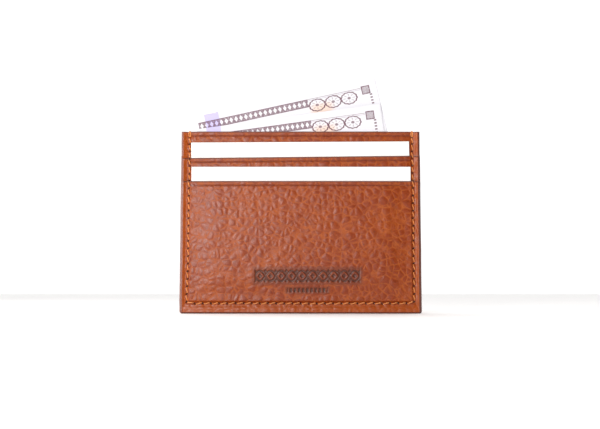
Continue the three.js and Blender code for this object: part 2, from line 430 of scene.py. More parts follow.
def rim_strip(outer, inner, edges, rim, bulge):
    """The rim's points, ring by ring, and its faces, numbered on from both faces' points."""
    count = len(outer)
    out = outline_normals(edges, outer)[rim]
    rings = []
    for share in RIM_STEPS:
        between = outer[rim] + (inner[rim] - outer[rim]) * share
        rings.append(between + out * bulge * math.sin(math.pi * share))
    on_rim = np.zeros(count, dtype=int)
    on_rim[rim] = np.arange(len(rim))

    def ring(vertices, step):
        if step == 0:
            return vertices
        if step == len(RIM_STEPS) + 1:
            return vertices + count
        return 2 * count + (step - 1) * len(rim) + on_rim[vertices]

    p, q = edges[:, 0], edges[:, 1]
    faces = [
        np.stack([ring(p, k), ring(p, k + 1), ring(q, k + 1), ring(q, k)], axis=1)
        for k in range(len(RIM_STEPS) + 1)
    ]
    return rings, faces


def make_leaf(name, covered, outer, inner, side, materials, rim_bulge, values, flat=None):
    """A closed leaf: a fine outer face, a rounded rim, and an inner face with material 1.

    values has each attribute on the outer face, the inner face and the rim, where None carries
    the outer face's on. flat has the grid's lines and the areas where the inner face is flat.
    """
    number = np.arange(outer[..., 0].size).reshape(outer.shape[:2])
    outer, inner = outer.reshape(-1, 3), inner.reshape(-1, 3)
    count = len(outer)
    corners = (number[:-1, :-1], number[1:, :-1], number[1:, 1:], number[:-1, 1:])
    cells = np.stack([c[covered] for c in corners], axis=1)
    edges = outline_edges(covered, number)
    rim = np.unique(edges)
    rings, rim_faces = rim_strip(outer, inner, edges, rim, rim_bulge)
    points = np.concatenate([outer, inner, *rings])
    inside, blocks = flat_blocks(covered, *flat, number) if flat else (covered, [])
    back_cells = np.stack([c[inside] for c in corners], axis=1)[:, ::-1] + count
    blocks = [block[::-1] + count for block in blocks]
    quads = np.concatenate([cells, *rim_faces, back_cells])
    slots = np.zeros(len(quads) + len(blocks), dtype=np.int32)
    slots[len(quads) - len(back_cells) :] = 1
    used = np.zeros(len(points), dtype=bool)
    used[np.concatenate([quads.ravel(), *blocks])] = True
    filled = {}
    for key, (value, inner_value, rim_value) in values.items():
        value = np.ravel(value)
        on_rim = value[rim] if rim_value is None else np.full(len(rim), rim_value)
        shares = [value, np.full(count, inner_value), np.tile(on_rim, len(RIM_STEPS))]
        filled[key] = np.concatenate(shares)[used]
    renumber = np.cumsum(used) - 1
    faces = renumber[quads].tolist() + [renumber[block].tolist() for block in blocks]
    if side == BACK:
        faces = [face[::-1] for face in faces]
    return make_object(name, points[used], faces, materials, slots, filled)


def apply_modifiers(obj):
    bpy.context.view_layer.update()
    graph = bpy.context.evaluated_depsgraph_get()
    mesh = bpy.data.meshes.new_from_object(obj.evaluated_get(graph), depsgraph=graph)
    obj.modifiers.clear()
    obj.data = mesh


# ---- node graphs


class Graph:
    """Adds nodes to a shader or geometry tree. Values are numbers, tuples or nodes' outputs."""

    def __init__(self, tree):
        self.tree = tree

    def add(self, kind, inputs=None, **settings):
        node = self.tree.nodes.new(kind)
        for key, value in settings.items():
            setattr(node, key, value)
        for key, value in (inputs or {}).items():
            self.feed(node.inputs[key], value)
        return node

    def feed(self, socket, value):
        if isinstance(value, bpy.types.NodeSocket):
            self.tree.links.new(value, socket)
        else:
            socket.default_value = value

    def math(self, operation, *values):
        return self.add("ShaderNodeMath", dict(enumerate(values)), operation=operation).outputs[0]

    def chain(self, operation, *values):
        return reduce(partial(self.math, operation), values)

    plus = partialmethod(chain, "ADD")
    minus = partialmethod(math, "SUBTRACT")
    times = partialmethod(chain, "MULTIPLY")
    over = partialmethod(math, "DIVIDE")
    size = partialmethod(math, "ABSOLUTE")
    smaller = partialmethod(math, "MINIMUM")
    largest = partialmethod(chain, "MAXIMUM")

    def off_nearest(self, value, pitch):
        """How far a value is from the nearest whole number of pitches."""
        nearest = self.math("SNAP", self.plus(value, pitch / 2), pitch)
        return self.size(self.minus(value, nearest))

    def vector(self, operation, *values):
        inputs = dict(enumerate(values))
        return self.add("ShaderNodeVectorMath", inputs, operation=operation).outputs[0]

    def scaled(self, vector, factor):
        node = self.add("ShaderNodeVectorMath", {0: vector, "Scale": factor}, operation="SCALE")
        return node.outputs[0]

    def split(self, vector):
        return self.add("ShaderNodeSeparateXYZ", {0: vector}).outputs

    def joined(self, x, y, z):
        return self.add("ShaderNodeCombineXYZ", {0: x, 1: y, 2: z}).outputs[0]

    def curve(self, value, low, high, start=0.0, end=1.0):
        """An S-curve from start, up to low, to end, from high."""
        inputs = {"Value": value, "From Min": low, "From Max": high, "To Min": start, "To Max": end}
        return self.add("ShaderNodeMapRange", inputs, interpolation_type="SMOOTHSTEP").outputs[0]

    def noise(self, place, size, detail=2.0, roughness=0.5, colour=False):
        inputs = {"Vector": place, "Scale": 1 / size, "Detail": detail, "Roughness": roughness}
        return self.add("ShaderNodeTexNoise", inputs).outputs[1 if colour else 0]

    def cells(self, place, size, feature="F1"):
        inputs = {"Vector": place, "Scale": 1 / size}
        return self.add("ShaderNodeTexVoronoi", inputs, feature=feature).outputs["Distance"]

    def mix(self, share, first, second):
        """A blend of two colours."""
        node = self.add("ShaderNodeMix", data_type="RGBA")
        self.feed(node.inputs[0], share)
        self.feed(node.inputs[6], first)
        self.feed(node.inputs[7], second)
        return node.outputs[2]

    def attribute(self, name):
        return self.add("ShaderNodeAttribute", attribute_name=name).outputs["Fac"]


def colour(*parts):
    """An sRGB colour, 0 to 255, as a linear RGBA."""
    linear = [((p / 255 + 0.055) / 1.055) ** 2.4 if p > 10 else p / 3295 for p in parts]
    return (*linear, 1.0)


# Sizes and heights of the pebble grain, in millimetres.
PEBBLE = 2.85
SMALL_PEBBLE = 1.9
WARP_SIZE, WARP_REACH = 7.0, 2.2
DOME_DEPTH = 0.055
DOME_TOP_DEPTH = 0.05
SMALL_DOME_DEPTH = 0.035
SWELL = 0.07
LINE_DEPTH = 0.02


def grain(g, place):
    """(height in millimetres, crease lines from 0 to 1) of pebbled leather, 0 on the pebbles."""
    warp = g.vector("SUBTRACT", g.noise(place, WARP_SIZE, colour=True), (0.5, 0.5, 0.5))
    bent = g.vector("ADD", place, g.scaled(warp, WARP_REACH))
    shifted = g.vector("ADD", bent, (31.0, 7.0, 12.0))
    patch = g.curve(g.noise(place, 7.0, 1), 0.45, 0.6)
    edge = g.cells(bent, PEBBLE, "DISTANCE_TO_EDGE")
    fine_edge = g.cells(shifted, SMALL_PEBBLE, "DISTANCE_TO_EDGE")
    domes = g.curve(edge, 0.0, 0.34, -DOME_DEPTH, 0.0)
    from_top = g.cells(bent, PEBBLE, "SMOOTH_F1")
    round_top = g.curve(from_top, 0.0, 0.8, 0.0, -DOME_TOP_DEPTH)
    small = g.times(g.curve(fine_edge, 0.0, 0.36, -SMALL_DOME_DEPTH, 0.0), patch)
    swell = g.curve(g.noise(place, 6.0, 2), 0.3, 0.7, -SWELL, 0.0)
    height = g.plus(g.plus(domes, round_top), g.plus(small, swell))
    fine = g.times(g.curve(fine_edge, 0.0, 0.14, 0.6, 0.0), patch)
    lines = g.largest(g.curve(edge, 0.0, 0.14, 1.0, 0.0), fine)
    fade = g.curve(g.noise(place, 3.0, 2), 0.35, 0.6, 0.3, 1.0)
    lines = g.times(lines, fade)
    return g.plus(height, g.times(lines, -LINE_DEPTH)), lines


# The stamp is a braid of two strands round small lozenges, over a row of dashes.
STAMP_CENTRE = (2.8, 15.4)
STAMP_HALF_WIDTH = 21.6
STAMP_PERIOD = 8.64
STAMP_SWING = 2.1
STRAND_HALF = 0.42
EYE_HALF = (0.95, 1.05)
LEAF_HALF = (0.8, 0.85)
LEAF_HEIGHT = 1.9
DASH_LINE = 9.6
DASH_PITCH = 1.7
DASH_HALF = (0.5, 0.85)
DASHES_HALF_WIDTH = 8.3
STROKE_DEPTH = 0.2
SURROUND_DEPTH = 0.05
SURROUND_CALM = 0.55


def stamp(g, place):
    """(strokes, burnished surround) of the stamp, from 0 to 1."""
    x, _, z = g.split(place)
    across = g.minus(x, STAMP_CENTRE[0])
    up = g.minus(z, STAMP_CENTRE[1])
    extent, height = g.size(across), g.size(up)
    low = g.size(g.minus(z, DASH_LINE))

    def inside(value, half, soft=0.12):
        return g.curve(value, half - soft, half + soft, 1.0, 0.0)

    def lozenge(sideways, upward, half):
        return inside(g.plus(g.over(sideways, half[0]), g.over(upward, half[1])), 1.0, 0.1)

    turn = g.times(across, 2 * math.pi / STAMP_PERIOD)
    rise = g.times(g.math("SINE", turn), STAMP_SWING)
    slope = g.times(g.math("COSINE", turn), STAMP_SWING * 2 * math.pi / STAMP_PERIOD)
    lean = g.math("SQRT", g.plus(g.times(slope, slope), 1.0))
    gaps = (g.minus(up, rise), g.plus(up, rise))
    strands = [inside(g.over(g.size(gap), lean), STRAND_HALF) for gap in gaps]
    from_crossing = g.off_nearest(across, STAMP_PERIOD / 2)
    eye = lozenge(g.minus(STAMP_PERIOD / 4, from_crossing), height, EYE_HALF)
    leaf = lozenge(from_crossing, g.size(g.minus(height, LEAF_HEIGHT)), LEAF_HALF)
    row = g.times(g.largest(*strands, eye, leaf), inside(extent, STAMP_HALF_WIDTH))
    dash = inside(g.off_nearest(across, DASH_PITCH), DASH_HALF[0])
    line = g.times(dash, inside(low, DASH_HALF[1]), inside(extent, DASHES_HALF_WIDTH))
    round_row = g.times(inside(extent, STAMP_HALF_WIDTH + 1.0, 0.7), inside(height, 3.7, 0.7))
    round_line = g.times(inside(extent, DASHES_HALF_WIDTH + 0.9, 0.6), inside(low, 1.5, 0.5))
    return g.largest(row, line), g.largest(round_row, round_line)


def relief(g, place, stamped):
    """(height, crease lines, stamp strokes, stamp surround) of the grain side."""
    height, lines = grain(g, place)
    if not stamped:
        return height, lines, None, None
    strokes, surround = stamp(g, place)
    calm = g.minus(1.0, g.times(surround, SURROUND_CALM))
    pressed = g.plus(g.times(strokes, -STROKE_DEPTH), g.times(surround, -SURROUND_DEPTH))
    height = g.plus(g.times(height, calm), pressed)
    return height, g.times(lines, calm), strokes, surround


def emboss(obj, side, stamped):
    """Presses the grain into the mesh itself, where its relief value allows."""
    tree = bpy.data.node_groups.new("emboss_" + obj.name, "GeometryNodeTree")
    for way in ("INPUT", "OUTPUT"):
        tree.interface.new_socket("Geometry", in_out=way, socket_type="NodeSocketGeometry")
    g = Graph(tree)
    entry, out = g.add("NodeGroupInput"), g.add("NodeGroupOutput")
    place = g.scaled(g.add("GeometryNodeInputPosition").outputs[0], 1 / MM)
    height = relief(g, place, stamped)[0]
    named = g.add("GeometryNodeInputNamedAttribute", {"Name": "relief"}, data_type="FLOAT")
    move = g.times(g.times(height, named.outputs[0]), side * MM)
    inputs = {"Geometry": entry.outputs[0], "Offset": g.joined(0.0, move, 0.0)}
    moved = g.add("GeometryNodeSetPosition", inputs)
    tree.links.new(moved.outputs[0], out.inputs[0])
    obj.modifiers.new("emboss", "NODES").node_group = tree
    apply_modifiers(obj)


# ---- materials


def new_material(name):
    """A material, its graph, its shader, and its place in millimetres."""
    material = bpy.data.materials.new(name)
    material.use_nodes = True
    tree = material.node_tree
    g = Graph(tree)
    shader = tree.nodes["Principled BSDF"]
    place = g.scaled(g.add("ShaderNodeTexCoord").outputs["Object"], 1 / MM)
    return material, g, shader, place


def set_surface(g, shader, tone, roughness, height, strength=1.0):
    """Colour, roughness, and bump from a height in millimetres."""
    inputs = {"Height": height, "Distance": MM, "Strength": strength}
    g.feed(shader.inputs["Base Color"], tone)
    g.feed(shader.inputs["Roughness"], roughness)
    g.feed(shader.inputs["Normal"], g.add("ShaderNodeBump", inputs).outputs[0])


# How much of the mesh's own relief is bump as well, and the depth of the pores.
GRAIN_BUMP = 0.24
PORE_DEPTH = 0.03
LEATHER_TOP = colour(134, 50, 4)
LEATHER_LINE = colour(174, 84, 12)
LEATHER_LIGHT = colour(152, 65, 8)
# Painted highlight: the sewn margin outside the seam is painted a lighter orange, for the light
# that its flared leather catches.
MARGIN_PAINTED_HIGHLIGHT = colour(170, 78, 12)
LEATHER_DARK = colour(110, 40, 10)
# Painted shade: the creased line below each pocket's top edge is painted darker brown.
CREASE_PAINTED_SHADE = colour(92, 36, 20)
STAMP_BROWN = colour(84, 42, 28)
STAMP_DARK = colour(58, 28, 18)
EDGE_BROWN = colour(112, 60, 46)
# Painted shade: the stitch holes are painted dark brown.
HOLE_PAINTED_SHADE = colour(78, 32, 13)


def grain_leather(name, stamped=False):
    material, g, shader, place = new_material(name)
    height, lines, strokes, surround = relief(g, place, stamped)
    cloud = g.noise(place, 14.0, 3)
    tone = g.mix(g.curve(cloud, 0.42, 0.7, 0.0, 0.6), LEATHER_TOP, LEATHER_LIGHT)
    mottle = g.noise(place, 1.3, 4, 0.65)
    tone = g.mix(g.curve(mottle, 0.46, 0.72, 0.0, 0.62), tone, LEATHER_DARK)
    tone = g.mix(g.times(lines, 0.62), tone, LEATHER_LINE)
    # Painted highlight: the sewn margin outside the seam is mixed towards a lighter orange.
    tone = g.mix(g.times(g.attribute("margin"), 0.6), tone, MARGIN_PAINTED_HIGHLIGHT)
    # Painted shade: the creased line below each pocket's top edge is darkened.
    tone = g.mix(g.times(g.attribute("crease"), 0.5), tone, CREASE_PAINTED_SHADE)
    if stamped:
        tone = g.mix(g.times(surround, 0.42), tone, STAMP_BROWN)
        tone = g.mix(g.times(strokes, 0.7), tone, STAMP_DARK)
    wobble = g.times(g.minus(g.noise(place, 0.8, 2), 0.5), 0.7)
    painted = g.curve(g.plus(g.attribute("paint"), wobble), 0.4, 0.6)
    tone = g.mix(painted, tone, EDGE_BROWN)
    # Painted shade: the stitch holes are darkened.
    tone = g.mix(g.curve(g.attribute("pit"), 0.15, 0.7), tone, HOLE_PAINTED_SHADE)
    pores = g.noise(place, 0.24, 3, 0.65)
    dull = g.curve(pores, 0.3, 0.7, 0.31, 0.4)
    rough = g.plus(dull, g.times(lines, 0.18), g.times(painted, -0.04))
    fine = g.times(g.minus(pores, 0.5), PORE_DEPTH)
    bumps = g.times(g.plus(g.times(height, GRAIN_BUMP), fine), g.minus(1.0, painted))
    set_surface(g, shader, tone, rough, bumps, 0.9)
    shader.inputs["Specular IOR Level"].default_value = 0.35
    return material


def flesh_leather():
    """The napped inside of the leather."""
    material, g, shader, place = new_material("leather_flesh_side")
    nap = g.noise(place, 0.35, 5, 0.7)
    patch = g.noise(place, 5.0, 2)
    tone = g.mix(g.curve(nap, 0.3, 0.75), colour(150, 92, 58), colour(186, 126, 86))
    tone = g.mix(g.curve(patch, 0.4, 0.7, 0.0, 0.4), tone, colour(128, 76, 48))
    set_surface(g, shader, tone, g.curve(nap, 0.3, 0.7, 0.8, 0.95), g.times(nap, 0.08))
    shader.inputs["Sheen Weight"].default_value = 0.35
    return material


def waxed_thread():
    material, g, shader, place = new_material("waxed_thread")
    fibres = g.noise(g.vector("MULTIPLY", place, (2.0, 2.0, 2.0)), 0.2, 3, 0.6)
    tone = g.mix(g.curve(fibres, 0.3, 0.7), colour(200, 110, 44), colour(230, 148, 74))
    set_surface(g, shader, tone, g.curve(fibres, 0.3, 0.7, 0.4, 0.6), g.times(fibres, 0.03))
    shader.inputs["Sheen Weight"].default_value = 0.25
    return material


def card_board():
    material, g, shader, place = new_material("white_card_board")
    fibre = g.noise(g.vector("MULTIPLY", place, (1.0, 1.0, 2.2)), 0.6, 5, 0.6)
    cloud = g.noise(place, 9.0, 2)
    tone = g.mix(g.curve(fibre, 0.35, 0.7), colour(252, 252, 250), colour(246, 246, 244))
    tone = g.mix(g.curve(cloud, 0.4, 0.7, 0.0, 0.4), tone, colour(243, 243, 240))
    set_surface(g, shader, tone, g.curve(fibre, 0.3, 0.7, 0.5, 0.62), g.times(fibre, 0.02))
    return material


NOTE_WHITE = colour(233, 232, 237)
NOTE_GREY = colour(225, 223, 231)
NOTE_INK = colour(104, 62, 78)
NOTE_LILAC = colour(196, 186, 236)
NOTE_ORANGE = colour(240, 200, 170)


# The made-up print, in millimetres in from the sheet's nearest end and nearest long edge.
BANNER_SPAN = (29.7, 76.9)
BANNER_MIDDLE = 4.65
BANNER_HALF = 1.7
LOZENGE_PITCH = 2.1
LOZENGE_HALF = (0.95, 1.5)
ROSETTES = ((12.4, 6.2), (19.3, 6.2), (26.2, 6.2))
ROSETTE_HALF = (3.6, 2.7)
MEDALLION = (50.0, 33.0)
MEDALLION_HALF = (17.0, 19.0)
CORNER_BLOCK = (4.8, 4.2)
RIBBON = (67.7, 73.8)


def within(g, value, low, high, soft=0.08):
    """1 from low to high, and 0 outside them."""
    rise = g.curve(value, low - soft, low + soft)
    return g.times(rise, g.curve(value, high - soft, high + soft, 1.0, 0.0))


def banner(g, end, head):
    """A band of lozenges between two lines."""
    off_row = g.size(g.minus(head, BANNER_MIDDLE))
    sideways = g.over(g.off_nearest(end, LOZENGE_PITCH), LOZENGE_HALF[0])
    field = g.curve(g.plus(sideways, g.over(off_row, LOZENGE_HALF[1])), 0.7, 0.9, 0.0, 0.85)
    lines = within(g, off_row, BANNER_HALF - 0.3, BANNER_HALF)
    height = within(g, off_row, -1, BANNER_HALF)
    return g.times(g.largest(field, lines), height, within(g, end, *BANNER_SPAN))


def rosette(g, end, head, centre, half):
    """A scalloped ring round eight petals and a disc."""
    x = g.over(g.minus(end, centre[0]), half[0])
    y = g.over(g.minus(head, centre[1]), half[1])
    reach = g.math("SQRT", g.plus(g.times(x, x), g.times(y, y)))
    angle = g.math("ARCTAN2", y, x)
    scallop = g.times(g.math("SINE", g.times(angle, 12.0)), 0.03)
    ring = g.curve(g.size(g.minus(g.plus(reach, scallop), 0.92)), 0.05, 0.12, 1.0, 0.0)
    petals = g.curve(g.math("COSINE", g.times(angle, 8.0)), 0.2, 0.7)
    petals = g.times(petals, within(g, reach, 0.34, 0.7, 0.04))
    disc = g.curve(reach, 0.18, 0.24, 0.8, 0.0)
    return g.largest(ring, g.times(petals, 0.4), disc)


def note_ink(g, end, head, down):
    """The print's ink, from 0 to 1."""
    from_block = [g.size(g.minus(value, at)) for value, at in zip((end, head), CORNER_BLOCK)]
    square = g.largest(*from_block)
    block = g.largest(within(g, square, 1.35, 1.8), g.times(within(g, square, -1, 1.4), 0.55))
    rules = g.largest(within(g, head, 2.95, 3.2), within(g, head, 3.6, 3.75))
    rules = g.times(rules, within(g, end, 6.8, 31), 0.7)
    tick = within(g, g.off_nearest(down, 1.3), -1, 0.3)
    ticks = g.times(within(g, end, 2.5, 3.5), tick, within(g, head, 6.2, 90))
    line = within(g, g.off_nearest(down, 0.9), -1, 0.14)
    hatch = g.times(line, within(g, end, 6, 150), within(g, head, 12, 90), 0.35)
    rosettes = [rosette(g, end, head, centre, ROSETTE_HALF) for centre in ROSETTES]
    medallion = rosette(g, end, head, MEDALLION, MEDALLION_HALF)
    return g.largest(banner(g, end, head), *rosettes, block, rules, ticks, medallion, hatch)


def printed_paper():
    """Note paper with a made-up print."""
    material, g, shader, place = new_material("printed_note_paper")
    along = g.times(g.attribute("sheet_u"), NOTE_LENGTH)
    down = g.times(g.attribute("sheet_v"), NOTE_HEIGHT)
    end = g.smaller(along, g.minus(NOTE_LENGTH, along))
    head = g.smaller(down, g.minus(NOTE_HEIGHT, down))
    patchy = g.curve(g.noise(place, 0.7, 3), 0.3, 0.6, 0.72, 1.0)
    ink = g.times(note_ink(g, end, head, down), patchy)
    glow = g.times(within(g, end, 20, 29, 2.0), within(g, head, 6.0, 12, 1.5))
    fibre = g.noise(g.vector("MULTIPLY", place, (1.0, 1.0, 1.8)), 0.5, 5, 0.6)
    tone = g.mix(g.curve(fibre, 0.35, 0.7, 0.0, 0.5), NOTE_WHITE, NOTE_GREY)
    tone = g.mix(g.times(glow, 0.6), tone, NOTE_ORANGE)
    tone = g.mix(g.times(within(g, along, *RIBBON, 0.15), 0.85), tone, NOTE_LILAC)
    tone = g.mix(ink, tone, NOTE_INK)
    height = g.plus(g.times(fibre, 0.02), g.times(ink, 0.012))
    set_surface(g, shader, tone, g.curve(fibre, 0.3, 0.7, 0.66, 0.8), height)
    return material


# ---- leather pieces

# Where a panel's grid gets finer towards its side edges.
MARGIN_STOPS = ((HALF_WIDTH - 1.8, 0.3), (HALF_WIDTH - 0.9, 0.115), (HALF_WIDTH, 0.1))


def half_columns(step):
    return grid_lines((0.0, step), (HALF_WIDTH - 4.8, 0.16), *MARGIN_STOPS)


def rows_to(top, start, step):
    """Rows up to a pocket's edge, closer together at its crease and its rounded lip."""
    crease = top - CREASE_BELOW
    lip = top - 0.6
    return [(start, step), (crease - 0.5, 0.12), (crease + 0.5, 0.25), (lip, 0.1), (top, 0.1)]


def leather_piece(names, side, layer, columns, rows, materials, flat, slot_name, **options):
    """One panel of the wallet, from its layer and the grid that it is cut on.

    names are its own and its CAD node's. flat lists the areas where its inner face is flat.
    """
    xs, zs = mirrored(columns), grid_lines(*rows)
    x, z = np.meshgrid(xs, zs, indexing="ij")
    deep, near = hole_field(x, z)
    inside = layer.inner(x, z, SLOT[side])
    outside = outer_distance(layer, x, z, SLOT[side], deep, near)
    covered = whole(xs, zs)
    if "covers" in options:
        covered = options["covers"]((x[:-1, :-1] + x[1:, 1:]) / 2, (z[:-1, :-1] + z[1:, 1:]) / 2)
    edge = np.minimum(from_outline(x, z), layer.top - z)
    shown = smooth(z, layer.shown_from - 2, layer.shown_from)
    grain_share = smooth(edge, 0.25, 1.1) * shown * (1 - 0.5 * np.clip(near, 0, 1)) * (1 - deep)
    # crease masks the painted shade along the creased line below the pocket's top edge.
    crease = bump(layer.top - z, CREASE_BELOW, 0.3) * smooth(STITCH_X - np.abs(x), -0.2, 0.6)
    values = {
        "relief": (grain_share, 0.0, 0.0),
        "paint": (1 - smooth(edge, 0.1, 0.75), 0.0, 1.0),
        # pit masks the painted shade in the stitch holes.
        "pit": (deep, 0.0, 0.0),
        "crease": (crease, 0.0, 0.0),
        # margin masks the painted highlight on the sewn margin outside the seam.
        "margin": (smooth(-seam_side(x, z), 0.3, 0.9), 0.0, 0.0),
    }
    slant = options.get("slant", 0.0)
    outer, inner = (place_layer(x, z, face, side, slant) for face in (outside, inside))
    name, node = names
    grid = (xs, zs, flat)
    piece = make_leaf(name, covered, outer, inner, side, materials, LEATHER_RIM_BULGE, values, grid)
    emboss(piece, side, options.get("stamped", False))
    settle(piece, node, "wallet")


# The room inside a pocket, where the leather's inner face is flat.
ROOM_BOTTOM = 5.5


def room(bottom, top):
    half = HALF_WIDTH - OPEN_INSET - 0.2
    return (-half, half, bottom, top)


def t_shape(x, z):
    return (z > WING_BOTTOM) | (np.abs(x) < TAIL_HALF_WIDTH)


def build_pocket(side, half, materials):
    rows = [(0.0, 0.1), (0.6, 0.3), (STITCH_Z - 1, 0.16), (STITCH_Z + 1.2, 0.3)]
    rows += rows_to(POCKET_TOP, 10.0, 0.3)
    flat = [room(ROOM_BOTTOM, POCKET_TOP - 1)]
    names = (f"{half}_pocket_leather", f"{half}_pocket_panel")
    cut = (POCKET, half_columns(0.3), rows, materials, flat)
    leather_piece(names, side, *cut, "leather_outer", stamped=side == FRONT)


def build_t_pocket(side, half, materials):
    rows = [(TAIL_BOTTOM, 1.35), (TAIL_SEWN_TOP, 0.3), (TAIL_OPEN_BOTTOM, 3.0)]
    rows += [(WING_BOTTOM - WING_RAMP, 0.5), *rows_to(T_POCKET_TOP, POCKET_TOP - 2, 0.3)]
    tail = [(0.0, 0.34), (TAIL_HALF_WIDTH - 0.4, 0.4), (TAIL_HALF_WIDTH, 0.16)]
    columns = grid_lines(*tail, *MARGIN_STOPS)
    flat = [room(TAIL_OPEN_BOTTOM + 0.1, WING_BOTTOM - 1), room(WING_BOTTOM + 1, T_POCKET_TOP - 1)]
    names = (f"{half}_slot_leather", f"{half}_t_pocket")
    cut = (T_POCKET, columns, rows, materials, flat)
    leather_piece(names, side, *cut, "leather_slot", covers=t_shape, slant=T_POCKET_RISE)


def build_divider(side, half, materials):
    rows = [(0.0, 0.1), (0.6, 0.5), (STITCH_Z + 1.2, 4.0), (T_POCKET_TOP - 2, 0.3)]
    rows += rows_to(HEIGHT, T_POCKET_TOP - 1.5, 0.3)
    flat = [room(ROOM_BOTTOM, HEIGHT - 1)]
    names = (f"{half}_divider_leather", f"{half}_divider")
    cut = (DIVIDER, half_columns(0.34), rows, materials, flat)
    leather_piece(names, side, *cut, "leather_divider")


def build_leather():
    stamped = grain_leather("stamped_leather", stamped=True)
    plain = grain_leather("pebbled_leather")
    flesh = flesh_leather()
    for side, half in SIDES:
        build_pocket(side, half, (stamped if side == FRONT else plain, flesh))
        build_t_pocket(side, half, (plain, flesh))
        build_divider(side, half, (plain, flesh))


# ---- thread


def seam_surface(x, z, side):
    """Distance of the outermost layer's face at points of the seam."""
    none = np.zeros_like(x)
    total = none
    for layer in (DIVIDER, T_POCKET, POCKET):
        endless = layer._replace(top=HEIGHT + 9)
        face = outer_distance(endless, x, z, SLOT[side], none, none)
        total = np.where(z <= layer.top + 0.05, face, total)
    return total


THREAD_SIDES = 12
PLY_TWIST = 1.9
STITCH_POINTS = 17
STITCH_LEAN = 0.25
HOLE_SINK = 0.75
ARCH_RISE = 0.8


def add_tube(points, outward, verts, faces):
    """Adds a closed three-ply thread along the points."""
    points = np.asarray(points)
    tangent = unit(np.gradient(points, axis=0))
    across = unit(np.cross(tangent, outward))
    normal = np.cross(across, tangent)
    travelled = np.concatenate([[0], np.cumsum(np.linalg.norm(np.diff(points, axis=0), axis=1))])
    angle = np.linspace(0, 2 * math.pi, THREAD_SIDES, endpoint=False)
    turn = angle[None, :] - 2 * math.pi * travelled[:, None] / PLY_TWIST
    lobes = THREAD_RADIUS * (0.84 + 0.2 * np.abs(np.cos(1.5 * turn)))
    sideways = across[:, None] * (lobes * np.cos(angle))[..., None]
    upward = normal[:, None] * (0.85 * lobes * np.sin(angle))[..., None]
    ring = points[:, None] + sideways + upward
    start = len(verts)
    verts.extend(ring.reshape(-1, 3))
    last = len(verts) - THREAD_SIDES
    for low in range(start, last, THREAD_SIDES):
        for j in range(THREAD_SIDES):
            i = (j + 1) % THREAD_SIDES
            high = low + THREAD_SIDES
            faces.append((low + j, low + i, high + i, high + j))
    faces.append(tuple(start + j for j in reversed(range(THREAD_SIDES))))
    faces.append(tuple(last + j for j in range(THREAD_SIDES)))


def add_stitch(first, second, side, surface, verts, faces, rng):
    """A run of thread from one hole to the next, lying aslant and sunk into its holes."""
    (ax, az, _), (bx, bz, _) = first, second
    run = np.linspace(0, 1, STITCH_POINTS)
    t = 0.14 + 0.72 * run
    lean = STITCH_LEAN * np.cos(math.pi * run) + rng.normal(0, 0.03)
    length = math.hypot(bx - ax, bz - az)
    ux, uz = (bx - ax) / length, (bz - az) / length
    x = ax + (bx - ax) * t + uz * lean
    z = az + (bz - az) * t - ux * lean
    ridge = np.max([surface(x, z + shift) for shift in (-0.45, -0.2, 0.0, 0.2, 0.45)], axis=0)
    arch = np.sin(math.pi * run) ** 0.5
    distance = ridge - HOLE_SINK + ARCH_RISE * arch
    points = np.stack([x, MIDDLE_Y + side * distance, z], axis=1)
    add_tube(points, (0.0, side, 0.0), verts, faces)


def stitching(name, node, side, holes, surface, thread):
    verts, faces = [], []
    rng = np.random.default_rng(11)
    for first, second in zip(holes, holes[1:]):
        add_stitch(first, second, side, surface, verts, faces, rng)
    settle(make_object(name, verts, faces, [thread]), node, "wallet")


def edge_wrap(name, node, hole, thread):
    """Two turns of thread over the top edge, from the front's top hole to the back's."""
    hole_x, hole_z, _ = hole
    top_face = seam_surface(np.array([abs(hole_x)]), np.array([HEIGHT - 2.0]), FRONT)
    reach = float(top_face[0]) + 0.7 * THREAD_RADIUS
    bend, crest = HEIGHT - 0.35, 0.35 + 0.8 * THREAD_RADIUS
    up = np.linspace(0, 1, 12)[:-1]
    rise = [(reach - 0.65 * (1 - u) ** 4, hole_z + (bend - hole_z) * u) for u in up]
    over = np.linspace(0, math.pi, 15)
    crown = [(reach * math.cos(a), bend + crest * math.sin(a)) for a in over]
    fall = [(-d, z) for d, z in reversed(rise)]
    verts, faces = [], []
    profile = list(enumerate(rise + crown + fall))
    for turn in (-1, 1):
        x = hole_x + turn * THREAD_RADIUS * 0.9
        path = [(x + 0.12 * turn * math.sin(k / 4), MIDDLE_Y - d, z) for k, (d, z) in profile]
        outward = np.array(path) - (x, MIDDLE_Y, HEIGHT - 1.2)
        add_tube(path, outward, verts, faces)
    settle(make_object(name, verts, faces, [thread]), node, "wallet")


def build_thread():
    thread = waxed_thread()
    count = int((TAIL_HALF_WIDTH - 1.5) / BASE_PITCH)
    floor_z = (TAIL_BOTTOM + TAIL_SEWN_TOP) / 2
    floor = [(BASE_PITCH * k, floor_z, 0.0) for k in range(-count, count + 1)]
    floor_face = CASH_HALF_GAP + DIVIDER_LEATHER + GLUE_LINE + T_POCKET_LEATHER - 0.22

    def level(x, z):
        return np.full_like(x, floor_face)

    for side, half in SIDES:
        seam = partial(seam_surface, side=side)
        stitching(f"{half}_stitching", f"{half}_seam_thread", side, HOLES, seam, thread)
        stitching(f"{half}_floor_stitching", f"{half}_floor_thread", side, floor, level, thread)
    edge_wrap("left_edge_wrap", "left_edge_loop", HOLES[0], thread)
    edge_wrap("right_edge_wrap", "right_edge_loop", HOLES[-1], thread)


# ---- contents


def turned(points, tilt):
    """Points turned about Y, rising to the right."""
    x, y, z = points[..., 0], points[..., 1], points[..., 2]
    c, s = math.cos(tilt), math.sin(tilt)
    return np.stack([x * c - z * s, y, x * s + z * c], axis=-1)


CARD_ARRIS = 0.09
CARD_WAVE = 0.02


